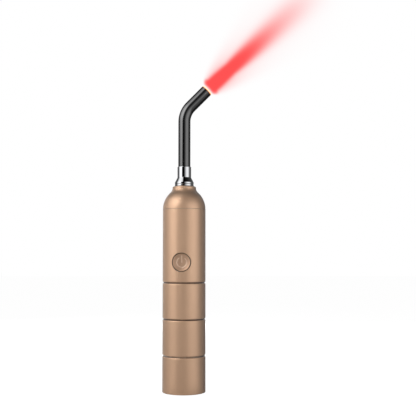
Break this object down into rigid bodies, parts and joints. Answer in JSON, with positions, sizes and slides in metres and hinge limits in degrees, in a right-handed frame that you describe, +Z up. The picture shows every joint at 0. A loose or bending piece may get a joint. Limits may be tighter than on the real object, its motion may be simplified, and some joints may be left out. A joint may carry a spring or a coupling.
{
  "type": "red light therapy wand",
  "caption": "Turned metal handle with a dished power button and a domed head, holding a black light guide rod bent near its glowing tip, on a polished sleeve.",
  "frame": {"origin": "centre of the flat base that the wand stands on", "axes": "+Z up along the handle to the head, +X to the side that the light guide bends to, -Y to the side of the power button"},
  "size_m": [0.0319, 0.028, 0.2007],
  "materials": {
    "anodised_shell": "bead-blasted and anodised rose gold, satin",
    "anodised_button": "anodised rose gold, satin, finely turned",
    "polished_chrome": "polished",
    "black_gloss_rod": "glossy black",
    "fibre_core": "polished, translucent",
    "glowing_tip": "polished end face, lit from behind",
    "black_rubber": "matte",
    "window_glass": "clear",
    "clear_lens": "clear, polished",
    "white_plastic": "matte",
    "led_ceramic": "pale ceramic with a clear dome",
    "led_board_metal": "white mask over aluminium",
    "bare_aluminium": "machined",
    "red_insulation": "satin",
    "black_insulation": "satin",
    "green_board": "solder mask",
    "black_plastic": "matte",
    "grey_ferrite": "matte",
    "nickel_plate": "plated",
    "grey_silicone": "matte",
    "brass_contact": "plain",
    "spring_steel": "bright wire",
    "cell_wrap": "blue film wrap",
    "insulating_sleeve": "matte fibre card"
  },
  "bodies": {
    "handle": {"barrel": "anodised_shell", "head_shell": "anodised_shell", "head_seal": "black_rubber", "tail_seal": "black_rubber", "battery_sleeve": "insulating_sleeve", "contact_board": "green_board", "positive_contact": "brass_contact", "chassis": "black_plastic", "control_board": "green_board", "switch_housing": "black_plastic", "inductor": "grey_ferrite", "driver_chip": "black_plastic", "board_screw_1": "nickel_plate", "board_screw_2": "nickel_plate", "red_lead": "red_insulation", "black_lead": "black_insulation", "battery_lead": "red_insulation", "heat_sink": "bare_aluminium", "led_board": "led_board_metal", "led_emitter": "led_ceramic", "collimator_lens": "clear_lens", "lens_holder": "white_plastic", "socket_window": "window_glass", "socket_ring": "polished_chrome"},
    "button": {"power_button": "anodised_button", "button_pad": "grey_silicone", "switch_plunger": "white_plastic"},
    "guide_ring": {"guide_seal": "black_rubber"},
    "light_guide": {"guide_sleeve": "polished_chrome", "guide_jacket": "black_gloss_rod", "guide_core": "fibre_core", "tip_window": "glowing_tip"},
    "battery": {"battery_cell": "cell_wrap", "battery_terminal": "nickel_plate", "battery_washer": "white_plastic"},
    "tail": {"tail_cap": "anodised_shell", "tail_plate": "brass_contact", "tail_retainer": "bare_aluminium", "tail_spring": "spring_steel"}
  },
  "joints": [
    {"name": "button_press", "type": "slide", "parent": "handle", "child": "button", "axis": [0.134, 0.991, 0], "range_m": [0, 0.0006], "stiffness_N_per_m": 2000, "springref_m": -0.0004},
    {"name": "guide_pull", "type": "slide", "parent": "handle", "child": "guide_ring", "axis": [0, 0, 1], "range_m": [0, 0.012]},
    {"name": "guide_turn", "type": "hinge", "parent": "guide_ring", "child": "light_guide", "pos_m": [0, 0, 0.13], "axis": [0, 0, 1], "continuous": true},
    {"name": "tail_travel", "type": "slide", "parent": "handle", "child": "battery", "axis": [0, 0, -1], "range_m": [0, 0.012]},
    {"name": "tail_turn", "type": "hinge", "parent": "battery", "child": "tail", "pos_m": [0, 0, 0], "axis": [0, 0, -1], "range_deg": [0, 2160]}
  ],
  "couplings": [
    {"joint": "tail_turn", "follows": "tail_travel", "rad_per_m": 3141.6}
  ]
}
